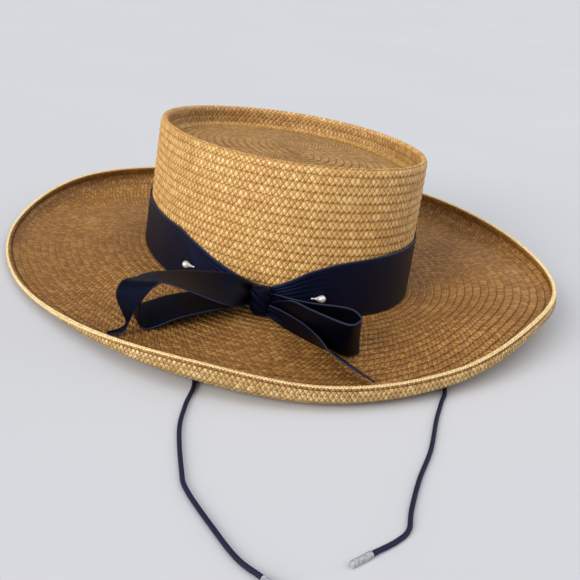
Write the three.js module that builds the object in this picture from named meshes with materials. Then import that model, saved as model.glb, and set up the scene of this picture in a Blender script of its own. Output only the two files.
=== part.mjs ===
// A wide-brimmed straw hat with a flat sunk tip, a grosgrain ribbon tied in a bow,
// two bead-headed pins and a chin cord in two free ends.
// Millimetres, +Z up. The hat rests on its brim at z = 0, wearer's back towards -Y.
import * as THREE from 'three';

const deg = Math.PI / 180;

// Driving dimensions
const straw = { wall: 2, gap: 0.3, ringSteps: 64 };
const crown = {
  halfWidth: 86,
  halfLength: 103,
  topHalfWidth: 85,
  topHalfLength: 100,
  squareness: 2.17,
  height: 88.5,
  frontDrop: 0.03,
  tipDepth: 14,
  tipDome: 2.5,
  baseHeight: 6.5,
  lean: 2 * deg,
  offMiddle: 3.7,
};
const brim = { squareness: 2.1, curlReach: 14, curlShare: 0.6, lipLeanIn: 2.7, seat: 4, foldWidth: 6 };
const ribbon = { thickness: 0.9, bandThickness: 1, bandGap: 0.35 };
const knot = { x: -46, y: -92, turn: -35.6 * deg, standOff: 5.9, squareness: 4, sides: 16 };
const pin = { headLength: 6.8, headWidth: 4.4, shaftWidth: 0.9, sides: 10 };
const cord = { diameter: 2.2, sides: 8, steps: 40 };
const aglet = { diameter: 3, length: 11, gap: 0.3, sides: 10 };
const tab = { width: 12, thickness: 2.4, length: 8, foot: 3, gap: 0.4 };

// Brim sections round the head: angle from +X, reach beyond the crown, height of the
// fold above the table and rise of the curled edge over the fold
const brimSections = [
  { angle: 0, reach: 99.5, fold: 9.5, rise: 17 },
  { angle: 30, reach: 99, fold: 6, rise: 20.5 },
  { angle: 60, reach: 96.5, fold: 0.5, rise: 20.5 },
  { angle: 90, reach: 91.5, fold: 0, rise: 18.5 },
  { angle: 120, reach: 97.5, fold: 0, rise: 17 },
  { angle: 150, reach: 95.5, fold: 0, rise: 7.5 },
  { angle: 180, reach: 92, fold: 1, rise: 3 },
  { angle: 210, reach: 88.5, fold: 2.8, rise: 5.5 },
  { angle: 235, reach: 95.5, fold: 2.9, rise: 14 },
  { angle: 256, reach: 96, fold: 0, rise: 13 },
  { angle: 277, reach: 92, fold: 3.3, rise: 12 },
  { angle: 300, reach: 91, fold: 15, rise: 10.5 },
  { angle: 330, reach: 98, fold: 13.5, rise: 10 },
];

// Upper and lower edge of the hat band round the crown, gathered behind the knot
const bandEdges = [
  { angle: 0, top: 38, foot: 0.6 },
  { angle: 90, top: 37, foot: 0.6 },
  { angle: 150, top: 34, foot: 0.6 },
  { angle: 183, top: 32.5, foot: 0.6 },
  { angle: 204, top: 32, foot: 0.6 },
  { angle: 216, top: 27, foot: 0.6 },
  { angle: 228, top: 21, foot: 1 },
  { angle: 236, top: 17.5, foot: 2 },
  { angle: 244, top: 15.5, foot: 3 },
  { angle: 250, top: 20, foot: 2 },
  { angle: 258, top: 28, foot: 0.6 },
  { angle: 270, top: 34, foot: 0.6 },
  { angle: 300, top: 38, foot: 0.6 },
];

// Knot's half sizes along and off the band, from its foot on the brim to its top
const knotSections = [
  { up: 9.3, halfWidth: 4.6, halfDepth: 3.6 },
  { up: 11, halfWidth: 6.4, halfDepth: 4.8 },
  { up: 15, halfWidth: 6.8, halfDepth: 5.3 },
  { up: 20, halfWidth: 6.8, halfDepth: 5.3 },
  { up: 24.5, halfWidth: 6.4, halfDepth: 4.8 },
  { up: 27, halfWidth: 4.6, halfDepth: 3.4 },
];

// Bow ribbons as two edges, point by point; sideX, sideY, sideZ is the other edge
const loopRight = [
  { x: -41.8, y: -98.6, z: 22, sideX: -41.8, sideY: -98.6, sideZ: 12 },
  { x: -38, y: -112, z: 25, sideX: -36, sideY: -104, sideZ: 10.5 },
  { x: -31, y: -123, z: 27, sideX: -26, sideY: -111, sideZ: 8.5 },
  { x: -18, y: -143, z: 32, sideX: -10, sideY: -130, sideZ: 7.3 },
  { x: -16, y: -154, z: 32, sideX: -7, sideY: -141, sideZ: 6.3 },
  { x: -21, y: -162, z: 33, sideX: -11, sideY: -148, sideZ: 5.8 },
  { x: -28, y: -162, z: 32, sideX: -20, sideY: -147, sideZ: 5.8 },
  { x: -38, y: -141, z: 31, sideX: -31, sideY: -127, sideZ: 7.3 },
  { x: -42.5, y: -123, z: 29, sideX: -38, sideY: -113, sideZ: 10 },
  { x: -43.8, y: -102, z: 19, sideX: -43.8, sideY: -102, sideZ: 12 },
];
const tailRight = [
  { x: -46.2, y: -104.5, z: 17.5, sideX: -46, sideY: -104.5, sideZ: 11 },
  { x: -42.5, y: -118, z: 19, sideX: -41, sideY: -115, sideZ: 9 },
  { x: -37.5, y: -132, z: 18.5, sideX: -35, sideY: -126, sideZ: 7.3 },
  { x: -35, y: -147, z: 17, sideX: -29, sideY: -136, sideZ: 6.3 },
  { x: -34, y: -159, z: 14.5, sideX: -24, sideY: -144, sideZ: 5.6 },
  { x: -28, y: -173, z: 12, sideX: -19, sideY: -160, sideZ: 4.6 },
  { x: -18, y: -179, z: 6.5, sideX: -15.5, sideY: -177, sideZ: 4.8 },
];
const tailLeft = [
  { x: -54.6, y: -91.6, z: 27, sideX: -57, sideY: -95.4, sideZ: 19 },
  { x: -66, y: -95, z: 34, sideX: -68, sideY: -108, sideZ: 21 },
  { x: -77, y: -91, z: 35, sideX: -80, sideY: -115, sideZ: 26 },
  { x: -97, y: -89, z: 36, sideX: -105, sideY: -115, sideZ: 37 },
  { x: -111, y: -89, z: 35, sideX: -114, sideY: -114, sideZ: 40 },
  { x: -123, y: -91, z: 34, sideX: -116, sideY: -113, sideZ: 39.5 },
  { x: -131, y: -95, z: 34, sideX: -117, sideY: -113.5, sideZ: 38.5 },
  { x: -134.5, y: -97, z: 29, sideX: -120, sideY: -113, sideZ: 36 },
  { x: -134, y: -98, z: 24, sideX: -124, sideY: -111, sideZ: 29 },
  { x: -131.5, y: -101, z: 18, sideX: -127, sideY: -108, sideZ: 22 },
  { x: -129.5, y: -102, z: 12.5, sideX: -129, sideY: -105, sideZ: 13.5 },
  { x: -133, y: -101, z: 8.5, sideX: -131.5, sideY: -104, sideZ: 8 },
  { x: -140, y: -101, z: 7, sideX: -139, sideY: -104, sideZ: 7 },
];
const loopLeft = [
  { x: -57, y: -93.8, z: 14.5, sideX: -54.6, sideY: -90.6, sideZ: 18.5 },
  { x: -75, y: -105, z: 18.5, sideX: -67, sideY: -81, sideZ: 15 },
  { x: -90, y: -106, z: 17, sideX: -86, sideY: -80, sideZ: 18 },
  { x: -102, y: -105, z: 14, sideX: -100, sideY: -78, sideZ: 16 },
  { x: -111, y: -103, z: 9.5, sideX: -111, sideY: -75, sideZ: 11.5 },
  { x: -118, y: -101, z: 7, sideX: -118, sideY: -73, sideZ: 9 },
  { x: -122.5, y: -101, z: 11, sideX: -124, sideY: -73, sideZ: 13 },
  { x: -122.5, y: -102, z: 19, sideX: -124.5, sideY: -74, sideZ: 21 },
  { x: -121, y: -104, z: 30, sideX: -122, sideY: -78, sideZ: 27 },
  { x: -113, y: -107, z: 37, sideX: -113, sideY: -81, sideZ: 32 },
  { x: -99, y: -108, z: 34.6, sideX: -98, sideY: -82, sideZ: 32.5 },
  { x: -84, y: -107, z: 27.8, sideX: -80, sideY: -84, sideZ: 29.5 },
  { x: -69, y: -103, z: 20.5, sideX: -63, sideY: -91, sideZ: 25.5 },
  { x: -57, y: -93.8, z: 20, sideX: -54.6, sideY: -90.6, sideZ: 24 },
];

// Each pin's bead and point on the band: angle round the crown and height above its base
const pins = [
  { name: 'pin_left', headAngle: 212.4, headUp: 14, pointAngle: 215.4, pointUp: 13.8 },
  { name: 'pin_right', headAngle: 261.5, headUp: 13, pointAngle: 258.7, pointUp: 12.2 },
];

// Chin cords from their tabs at the ears, under the brim and out over the table
const cordLeft = [
  [-82.3, 0, 11.8],
  [-82.2, -0.6, 6],
  [-82, -3, 2.6],
  [-81.9, -8, 1.4],
  [-84, -40, 1.2],
  [-92, -90, 1.2],
  [-102, -135, 1.2],
  [-107, -155, 1.2],
  [-117, -173, 1.2],
  [-126, -193, 1.2],
  [-134, -223, 1.2],
  [-136, -237, 1.2],
  [-133, -264, 1.2],
  [-130, -281, 1.2],
  [-125, -292.5, 1.5],
];
const cordRight = [
  [82.5, 0, 6.1],
  [82.3, -0.6, 3.4],
  [80.4, -5, 1.25],
  [76, -16, 1.2],
  [66, -42, 1.2],
  [52, -84, 1.2],
  [40, -130, 1.2],
  [31, -165, 1.2],
  [23, -186, 1.2],
  [13, -198, 1.2],
  [1, -212, 1.2],
  [-17, -235, 1.2],
  [-35, -254, 1.2],
  [-50, -272, 1.2],
  [-58, -283, 1.2],
  [-67, -288, 1.3],
  [-79.5, -291.8, 1.5],
];

const finishes = {
  straw: { color: 0xc89c54, roughness: 0.62, metalness: 0 },
  ribbon: { color: 0x161a38, roughness: 0.7, metalness: 0 },
  pearl: { color: 0xc9c4ba, roughness: 0.25, metalness: 0.4 },
  cord: { color: 0x1c2a5e, roughness: 0.6, metalness: 0 },
  aglet: { color: 0xa9abae, roughness: 0.3, metalness: 0.3 },
};

// Radius of an oval with soft corners at a polar angle
function ovalRadius(angle, halfX, halfY, squareness) {
  const across = Math.abs(Math.cos(angle) / halfX) ** squareness;
  const along = Math.abs(Math.sin(angle) / halfY) ** squareness;
  return (across + along) ** (-1 / squareness);
}

// Smooth periodic value of one column of a table of angles
function roundTable(rows, column, angle) {
  const turn = 360;
  const here = ((angle / deg) % turn + turn) % turn;
  const count = rows.length;
  let index = count - 1;
  while (rows[index].angle > here) index -= 1;
  const row = (step) => rows[(index + step + count) % count];
  const span = (row(1).angle - row(0).angle + turn) % turn;
  const before = (row(0).angle - row(-1).angle + turn) % turn;
  const after = (row(2).angle - row(1).angle + turn) % turn;
  const slopeHere = (row(1)[column] - row(-1)[column]) / (span + before);
  const slopeNext = (row(2)[column] - row(0)[column]) / (span + after);
  const t = (here - row(0).angle) / span;
  const blend = (3 - 2 * t) * t * t;
  const bend = slopeHere * span * t * (1 - t) ** 2 - slopeNext * span * t * t * (1 - t);
  return row(0)[column] * (1 - blend) + row(1)[column] * blend + bend;
}

// Turns every triangle over when the faces of a closed body look inwards
function facingOut(geometry) {
  const position = geometry.attributes.position;
  const index = geometry.index.array;
  const corner = (at) => new THREE.Vector3().fromBufferAttribute(position, index[at]);
  let volume = 0;
  for (let at = 0; at < index.length; at += 3) {
    volume += corner(at).dot(corner(at + 1).cross(corner(at + 2)));
  }
  if (volume < 0) geometry.setIndex(Array.from(index).reverse());
  return geometry;
}

// Skin over successive rings of equal length; a ring of one point is a pole
function ringSkin(rings, closedProfile) {
  const positions = [];
  const indices = [];
  const starts = rings.map((ring) => {
    const start = positions.length / 3;
    ring.forEach((point) => positions.push(point.x, point.y, point.z));
    return start;
  });
  const lastPair = closedProfile ? rings.length : rings.length - 1;
  for (let pair = 0; pair < lastPair; pair += 1) {
    const next = (pair + 1) % rings.length;
    const steps = Math.max(rings[pair].length, rings[next].length);
    const at = (ring, step) => starts[ring] + (rings[ring].length === 1 ? 0 : step % steps);
    for (let step = 0; step < steps; step += 1) {
      if (rings[pair].length > 1) indices.push(at(pair, step), at(pair, step + 1), at(next, step));
      if (rings[next].length > 1) indices.push(at(pair, step + 1), at(next, step + 1), at(next, step));
    }
  }
  const geometry = new THREE.BufferGeometry();
  geometry.setAttribute('position', new THREE.Float32BufferAttribute(positions, 3));
  geometry.setIndex(indices);
  return facingOut(geometry);
}

function ringOf(pointAt) {
  return Array.from({ length: straw.ringSteps }, (_, step) => pointAt((step / straw.ringSteps) * 2 * Math.PI));
}

// Point on the crown's side, inset from its outer face, at a height above its base
function crownPoint(angle, inset, height) {
  const share = height / crown.height;
  const halfX = THREE.MathUtils.lerp(crown.halfWidth, crown.topHalfWidth, share) - inset;
  const halfY = THREE.MathUtils.lerp(crown.halfLength, crown.topHalfLength, share) - inset;
  const radius = ovalRadius(angle, halfX, halfY, crown.squareness);
  const y = radius * Math.sin(angle);
  return new THREE.Vector3(radius * Math.cos(angle), y, height - crown.frontDrop * share * y);
}

function crownRing(inset, height) {
  return ringOf((angle) => crownPoint(angle, inset, height));
}

// Crown wall that rolls over at the top into a sunk, slightly domed tip
function crownGeometry() {
  const wall = straw.wall;
  const tip = crown.height - crown.tipDepth;
  const top = crown.height;
  const domeRise = (share) => crown.tipDome * (1 - share * share);
  const rim = crownRing(8, tip);
  const tipRing = (share, drop) => rim.map((point) => {
    const rise = domeRise(share) - drop;
    return new THREE.Vector3(point.x * share, point.y * share, tip + (point.z - tip) * share + rise);
  });
  const outside = [
    [new THREE.Vector3(0, 0, tip + domeRise(0))],
    tipRing(0.4, 0),
    tipRing(0.75, 0),
    tipRing(0.97, 0),
    crownRing(6.4, tip + 1.6),
    crownRing(5.3, top - 3),
    crownRing(4.2, top - 0.7),
    crownRing(2.8, top),
    crownRing(1.1, top - 0.7),
    crownRing(0.2, top - 3),
    crownRing(0, top * 0.5),
    crownRing(0, straw.gap),
  ];
  const inside = [
    crownRing(wall, straw.gap),
    crownRing(wall, top * 0.5),
    crownRing(wall + 0.1, top - 3.2),
    crownRing(wall + 0.8, top - 2.1),
    crownRing(3.5, top - 3.2),
    crownRing(4.4, tip + 0.9),
    tipRing(0.99, wall),
    tipRing(0.75, wall),
    tipRing(0.4, wall),
    [new THREE.Vector3(0, 0, tip + domeRise(0) - wall)],
  ];
  return ringSkin([...outside, ...inside], false);
}

// Middle line of the brim's wall at one angle, from under the crown out to the free edge;
// the hat rests on the level fold before the curl
function brimSection(angle) {
  const reach = roundTable(brimSections, 'reach', angle);
  const fold = Math.max(roundTable(brimSections, 'fold', angle), 0) + straw.wall / 2;
  const rise = roundTable(brimSections, 'rise', angle) - straw.wall / 2;
  const inner = ovalRadius(angle, crown.halfWidth, crown.halfLength, crown.squareness);
  const outer = ovalRadius(angle, crown.halfWidth + reach, crown.halfLength + reach, brim.squareness)
    - straw.wall / 2;
  const seatHeight = crown.baseHeight - straw.wall / 2 - Math.tan(crown.lean) * inner * Math.cos(angle);
  const curlStart = outer - brim.curlReach;
  const points = [
    { out: inner - straw.wall, up: seatHeight },
    { out: inner + brim.seat, up: seatHeight },
  ];
  [0.25, 0.5, 0.75].forEach((share) => {
    const out = THREE.MathUtils.lerp(inner + brim.seat, curlStart - brim.foldWidth, share);
    const sink = THREE.MathUtils.smoothstep(share, 0, 1);
    points.push({ out, up: THREE.MathUtils.lerp(seatHeight, fold, sink) });
  });
  points.push({ out: curlStart - brim.foldWidth, up: fold, level: true });
  points.push({ out: curlStart, up: fold, level: true });
  const curlRise = rise * brim.curlShare;
  [30, 60, 85].forEach((turn) => {
    points.push({
      out: curlStart + brim.curlReach * Math.sin(turn * deg),
      up: fold + curlRise * (1 - Math.cos(turn * deg)),
    });
  });
  points.push({ out: outer - brim.lipLeanIn, up: fold + rise });
  return points;
}

// Brim ring that widens from the crown's foot, then curls up to its free edge
function brimGeometry() {
  const sectionSkin = (angle) => {
    const middle = brimSection(angle);
    const side = (sign) => middle.map((point, index) => {
      const before = middle[Math.max(index - 1, 0)];
      const after = middle[Math.min(index + 1, middle.length - 1)];
      const slope = point.level ? 0 : Math.atan2(after.up - before.up, after.out - before.out);
      const out = point.out - ((sign * straw.wall) / 2) * Math.sin(slope);
      const up = point.up + ((sign * straw.wall) / 2) * Math.cos(slope);
      return new THREE.Vector3(out * Math.cos(angle), out * Math.sin(angle), up);
    });
    return [...side(1), ...side(-1).reverse()];
  };
  const sections = ringOf(sectionSkin);
  const rings = sections[0].map((_, index) => sections.map((section) => section[index]));
  return ringSkin(rings, true);
}

// Hat band standing just off the crown's side
function bandGeometry() {
  const edgeRing = (inset, column) => ringOf(
    (angle) => crownPoint(angle, inset, roundTable(bandEdges, column, angle)),
  );
  const inner = -ribbon.bandGap;
  const outer = -ribbon.bandGap - ribbon.bandThickness;
  return ringSkin(
    [edgeRing(inner, 'foot'), edgeRing(outer, 'foot'), edgeRing(outer, 'top'), edgeRing(inner, 'top')],
    true,
  );
}

// Knot as a stack of soft-cornered ovals in its own frame, X along the band
function knotGeometry() {
  const ovals = knotSections.map(({ up, halfWidth, halfDepth }) => (
    Array.from({ length: knot.sides }, (_, side) => {
      const angle = ((side + 0.5) / knot.sides) * 2 * Math.PI;
      const radius = ovalRadius(angle, halfWidth, halfDepth, knot.squareness);
      return new THREE.Vector3(radius * Math.cos(angle), radius * Math.sin(angle), up);
    })
  ));
  const foot = [new THREE.Vector3(0, 0, knotSections[0].up)];
  const head = [new THREE.Vector3(0, 0, knotSections[knotSections.length - 1].up)];
  return ringSkin([foot, ...ovals, head], false);
}

// Ribbon stretched between two edges, as thick as the ribbon
function stripGeometry(rows) {
  const curve = (points) => new THREE.CatmullRomCurve3(points, false, 'catmullrom');
  const edge = curve(rows.map((row) => new THREE.Vector3(row.x, row.y, row.z)));
  const side = curve(rows.map((row) => new THREE.Vector3(row.sideX, row.sideY, row.sideZ)));
  const middle = (t) => edge.getPoint(t).lerp(side.getPoint(t), 0.5);
  const steps = (rows.length - 1) * 4;
  const rings = Array.from({ length: steps + 1 }, (_, step) => {
    const t = step / steps;
    const near = edge.getPoint(t);
    const far = side.getPoint(t);
    const along = middle(Math.min(t + 0.5 / steps, 1)).sub(middle(Math.max(t - 0.5 / steps, 0)));
    const lift = along.cross(far.clone().sub(near)).setLength(ribbon.thickness / 2);
    return [
      near.clone().add(lift),
      far.clone().add(lift),
      far.clone().sub(lift),
      near.clone().sub(lift),
    ];
  });
  const centreOf = (ring) => [ring[0].clone().lerp(ring[2], 0.5)];
  return ringSkin([centreOf(rings[0]), ...rings, centreOf(rings[steps])], false);
}

// Pin with a tear-shaped bead; its point lies along +Y from the bead's centre
function pinGeometry(pointAt) {
  const bead = pin.headWidth / 2;
  const shaft = pin.shaftWidth / 2;
  const back = -pin.headLength / 2;
  const neck = pin.headLength / 2;
  const profile = [
    new THREE.Vector2(0, back),
    new THREE.Vector2(bead * 0.62, back + 0.5),
    new THREE.Vector2(bead * 0.94, back + 1.4),
    new THREE.Vector2(bead, back + 2.4),
    new THREE.Vector2(bead * 0.82, back + 4),
    new THREE.Vector2(bead * 0.5, back + 5.4),
    new THREE.Vector2(shaft, neck),
    new THREE.Vector2(shaft, pointAt - 1),
    new THREE.Vector2(0, pointAt),
  ];
  return new THREE.LatheGeometry(profile, pin.sides);
}

function cordGeometry(route) {
  const radius = cord.diameter / 2;
  const corners = Array.from({ length: cord.sides }, (_, side) => {
    const angle = ((side + 0.5) / cord.sides) * 2 * Math.PI;
    return new THREE.Vector2(radius * Math.cos(angle), radius * Math.sin(angle));
  });
  const path = new THREE.CatmullRomCurve3(route.map((point) => new THREE.Vector3(...point)));
  return new THREE.ExtrudeGeometry(new THREE.Shape(corners), {
    steps: cord.steps,
    bevelEnabled: false,
    extrudePath: path,
  });
}

// The crown stands a little left of the whole hat's middle, because the brim is wider on the right
const part = new THREE.Group();
const hat = new THREE.Group();
hat.position.x = -crown.offMiddle;
part.add(hat);
const head = new THREE.Group();
head.position.z = crown.baseHeight;
head.rotation.y = crown.lean;
hat.add(head);

function addPiece(parent, name, geometry, finish) {
  const mesh = new THREE.Mesh(geometry, new THREE.MeshStandardMaterial(finish));
  mesh.name = name;
  parent.add(mesh);
  return mesh;
}

addPiece(head, 'crown', crownGeometry(), finishes.straw);
addPiece(hat, 'brim', brimGeometry(), finishes.straw);
addPiece(head, 'ribbon_band', bandGeometry(), finishes.ribbon);

const knotMesh = addPiece(hat, 'bow_knot', knotGeometry(), finishes.ribbon);
knotMesh.rotation.z = knot.turn;
knotMesh.position.set(
  knot.x + knot.standOff * Math.sin(knot.turn),
  knot.y - knot.standOff * Math.cos(knot.turn),
  0,
);
addPiece(hat, 'bow_loop_left', stripGeometry(loopLeft), finishes.ribbon);
addPiece(hat, 'bow_loop_right', stripGeometry(loopRight), finishes.ribbon);
addPiece(hat, 'bow_tail_left', stripGeometry(tailLeft), finishes.ribbon);
addPiece(hat, 'bow_tail_right', stripGeometry(tailRight), finishes.ribbon);

pins.forEach(({ name, headAngle, headUp, pointAngle, pointUp }) => {
  const bandFace = ribbon.bandGap + ribbon.bandThickness + straw.gap;
  const bead = crownPoint(headAngle * deg, -bandFace - pin.headWidth / 2, headUp);
  const point = crownPoint(pointAngle * deg, -bandFace - pin.shaftWidth / 2, pointUp);
  const mesh = addPiece(head, name, pinGeometry(bead.distanceTo(point)), finishes.pearl);
  mesh.position.copy(bead);
  mesh.quaternion.setFromUnitVectors(new THREE.Vector3(0, 1, 0), point.sub(bead).normalize());
});

// Sewn tabs inside the crown at the ears, where the chin cords hang
[{ name: 'cord_tab_left', angle: Math.PI }, { name: 'cord_tab_right', angle: 0 }].forEach(({ name, angle }) => {
  const geometry = new THREE.BoxGeometry(tab.thickness, tab.width, tab.length);
  const mesh = addPiece(head, name, geometry, finishes.cord);
  const inset = straw.wall + tab.gap + tab.thickness / 2;
  mesh.position.copy(crownPoint(angle, inset, tab.foot + tab.length / 2));
});

[{ side: 'left', route: cordLeft }, { side: 'right', route: cordRight }].forEach(({ side, route }) => {
  addPiece(hat, `cord_${side}`, cordGeometry(route), finishes.cord);
  const end = new THREE.Vector3(...route[route.length - 1]);
  const before = new THREE.Vector3(...route[route.length - 2]);
  const heading = end.clone().sub(before).setZ(0).normalize();
  const shape = new THREE.CylinderGeometry(aglet.diameter / 2, aglet.diameter / 2, aglet.length, aglet.sides);
  const mesh = addPiece(hat, `aglet_${side}`, shape, finishes.aglet);
  mesh.position.copy(end).addScaledVector(heading, aglet.gap + aglet.length / 2);
  mesh.position.z = aglet.diameter / 2;
  mesh.quaternion.setFromUnitVectors(new THREE.Vector3(0, 1, 0), heading);
});

export default part;
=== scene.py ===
import math
import bpy
import numpy as np
from mathutils import Matrix, Vector


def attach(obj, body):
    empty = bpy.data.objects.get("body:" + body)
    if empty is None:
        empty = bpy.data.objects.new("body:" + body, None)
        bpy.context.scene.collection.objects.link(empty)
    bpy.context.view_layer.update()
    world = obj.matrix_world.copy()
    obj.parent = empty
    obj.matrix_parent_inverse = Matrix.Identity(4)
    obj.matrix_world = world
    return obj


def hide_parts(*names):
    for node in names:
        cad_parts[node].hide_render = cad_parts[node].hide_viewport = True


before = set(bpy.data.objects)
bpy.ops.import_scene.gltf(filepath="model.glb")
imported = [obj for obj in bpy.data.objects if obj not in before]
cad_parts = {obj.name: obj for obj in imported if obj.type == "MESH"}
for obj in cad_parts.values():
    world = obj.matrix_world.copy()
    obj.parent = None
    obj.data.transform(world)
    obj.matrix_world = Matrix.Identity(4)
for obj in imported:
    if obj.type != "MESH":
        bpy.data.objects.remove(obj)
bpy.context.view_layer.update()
mm = 0.001

# Camera and room

photoCamera = {
    "place": (-0.24036, -0.51075, 0.21367),
    "azimuth": -24.86,
    "elevation": 20.21,
    "roll": 6.73,
    "lens": 52.76,
    "shift": (0.0292, -0.0592),
}
room = {
    "floorSize": 60,
    "floorColour": (0.6, 0.61, 0.64, 1),
    "skyColour": (0.86, 0.9, 1.0, 1),
    "skyStrength": 0.34,
}
lamps = [
    {
        "name": "window", "from": (-0.85, -0.4, 0.4), "angle": 34, "strength": 2.9,
        "colour": (1.0, 0.97, 0.92),
    },
    {
        "name": "ceiling", "from": (-0.2, -0.3, 1.0), "angle": 80, "strength": 0.85,
        "colour": (0.96, 0.98, 1.0),
    },
    {
        "name": "rightFill", "from": (0.8, -0.1, 0.7), "angle": 70, "strength": 1.2,
        "colour": (1.0, 0.96, 0.9),
    },
]


def makeCamera():
    turn = (
        Matrix.Rotation(math.radians(photoCamera["azimuth"]), 4, "Z")
        @ Matrix.Rotation(math.radians(90 - photoCamera["elevation"]), 4, "X")
        @ Matrix.Rotation(math.radians(photoCamera["roll"]), 4, "Z")
    )
    bpy.ops.object.camera_add(location=photoCamera["place"], rotation=turn.to_euler())
    camera = bpy.context.object
    camera.data.lens = photoCamera["lens"]
    camera.data.sensor_width = 36
    camera.data.shift_x, camera.data.shift_y = photoCamera["shift"]
    bpy.context.scene.camera = camera


def makeRoom():
    bpy.ops.mesh.primitive_plane_add(size=room["floorSize"], location=(0, 0, 0))
    floor = bpy.context.object
    floor.name = "studioFloor"
    for lamp in lamps:
        place = Vector(lamp["from"])
        aim = (-place).to_track_quat("-Z", "Y").to_euler()
        bpy.ops.object.light_add(type="SUN", location=place, rotation=aim)
        light = bpy.context.object
        light.name = lamp["name"]
        light.data.angle = math.radians(lamp["angle"])
        light.data.energy = lamp["strength"]
        light.data.color = lamp["colour"]
    world = bpy.data.worlds.new("studioSky")
    world.use_nodes = True
    sky = world.node_tree.nodes["Background"]
    sky.inputs["Color"].default_value = room["skyColour"]
    sky.inputs["Strength"].default_value = room["skyStrength"]
    bpy.context.scene.world = world
    bpy.context.scene.view_settings.view_transform = "Standard"
    return floor


makeCamera()
studioFloor = makeRoom()
print("camera and room ready")

# Materials


class Wire:
    # one output socket, so that shader maths can be written as an expression
    def __init__(self, finish, socket):
        self.finish = finish
        self.socket = socket

    def maths(self, operation, *others):
        return self.finish.node("ShaderNodeMath", {"operation": operation}, self, *others)

    def __add__(self, other):
        return self.maths("ADD", other)

    __radd__ = __add__

    def __mul__(self, other):
        return self.maths("MULTIPLY", other)

    __rmul__ = __mul__

    def __sub__(self, other):
        return self.maths("SUBTRACT", other)

    def __rsub__(self, other):
        return self.finish.node("ShaderNodeMath", {"operation": "SUBTRACT"}, other, self)

    def __pow__(self, other):
        return self.maths("POWER", other)


class Finish:
    # one material and its nodes
    def __init__(self, name, **constants):
        self.material = bpy.data.materials.new(name)
        self.material.use_nodes = True
        self.tree = self.material.node_tree
        self.shader = self.tree.nodes["Principled BSDF"]
        for socket, value in constants.items():
            self.shader.inputs[socket.replace("_", " ")].default_value = value

    def node(self, kind, settings=None, *values, out=0, **named):
        made = self.tree.nodes.new(kind)
        for key, value in (settings or {}).items():
            if key == "stops":
                self.setStops(made.color_ramp, value)
            else:
                setattr(made, key, value)
        sockets = list(zip(made.inputs, values))
        sockets += [(made.inputs[name.replace("_", " ")], value) for name, value in named.items()]
        for socket, value in sockets:
            self.feed(socket, value)
        return Wire(self, made.outputs[out])

    def feed(self, socket, value):
        if isinstance(value, Wire):
            self.tree.links.new(value.socket, socket)
        else:
            socket.default_value = value

    def setStops(self, ramp, stops):
        while len(ramp.elements) < len(stops):
            ramp.elements.new(0.5)
        for element, (place, colour) in zip(ramp.elements, stops):
            element.position = place
            element.color = (*colour, 1)

    def uv(self):
        place = self.node("ShaderNodeUVMap", {"uv_map": "UVMap"})
        split = self.node("ShaderNodeSeparateXYZ", None, place)
        return split, Wire(self, split.socket.node.outputs[1])

    def objectPlace(self):
        return self.node("ShaderNodeTexCoord", None, out="Object")

    def blend(self, share, first, second, kind="MIX"):
        mix = self.tree.nodes.new("ShaderNodeMix")
        mix.data_type = "RGBA"
        mix.blend_type = kind
        for index, value in ((0, share), (6, first), (7, second)):
            self.feed(mix.inputs[index], value)
        return Wire(self, mix.outputs[2])

    def noise(self, vector, scale, detail=2.0, rough=0.5):
        return self.node(
            "ShaderNodeTexNoise", None, Vector=vector, Scale=scale, Detail=detail, Roughness=rough,
        )

    def relief(self, height, strength, distance):
        bump = self.node("ShaderNodeBump", None, Height=height, Strength=strength, Distance=distance)
        self.feed(self.shader.inputs["Normal"], bump)

    def dress(self, **links):
        for name, value in links.items():
            self.feed(self.shader.inputs[name.replace("_", " ")], value)
        return self.material


def colour(red, green, blue):
    # screen colour from 0 to 255 to the linear one that shaders use
    return tuple(((part / 255 + 0.055) / 1.055) ** 2.4 for part in (red, green, blue))


# In each tone set the gap colour and its share are painted shade in the cracks between strands.
strawTones = {
    "crownStraw": {
        "dark": (176, 116, 46), "middle": (212, 160, 78), "light": (244, 210, 134), "gap": (96, 54, 16),
        "gapShadeShare": 0.85, "seamShade": 0.75, "underStart": False, "specular": 1.0,
    },
    # darker copy of the crown's straw: painted shade for the flat tip, which the low window light grazes
    "shadedTipStraw": {
        "dark": (140, 92, 40), "middle": (174, 128, 66), "light": (212, 174, 106), "gap": (74, 40, 12),
        "gapShadeShare": 0.55, "seamShade": 1.0, "underStart": False, "specular": 0.6,
    },
    # browner straw than the crown, darkened further as painted shade for the flat brim, which the low window
    # light grazes
    "brownerShadedBrimStraw": {
        "dark": (118, 74, 28), "middle": (160, 110, 48), "light": (212, 162, 88), "gap": (56, 28, 8),
        "gapShadeShare": 0.8, "seamShade": 1.0, "underStart": True, "specular": 0.5,
    },
    "paleStraw": {
        "dark": (144, 102, 46), "middle": (192, 152, 84), "light": (244, 218, 156), "gap": (84, 50, 18),
        "gapShadeShare": 1.0, "seamShade": 1.0, "underStart": True, "specular": 0.8,
    },
}
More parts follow.
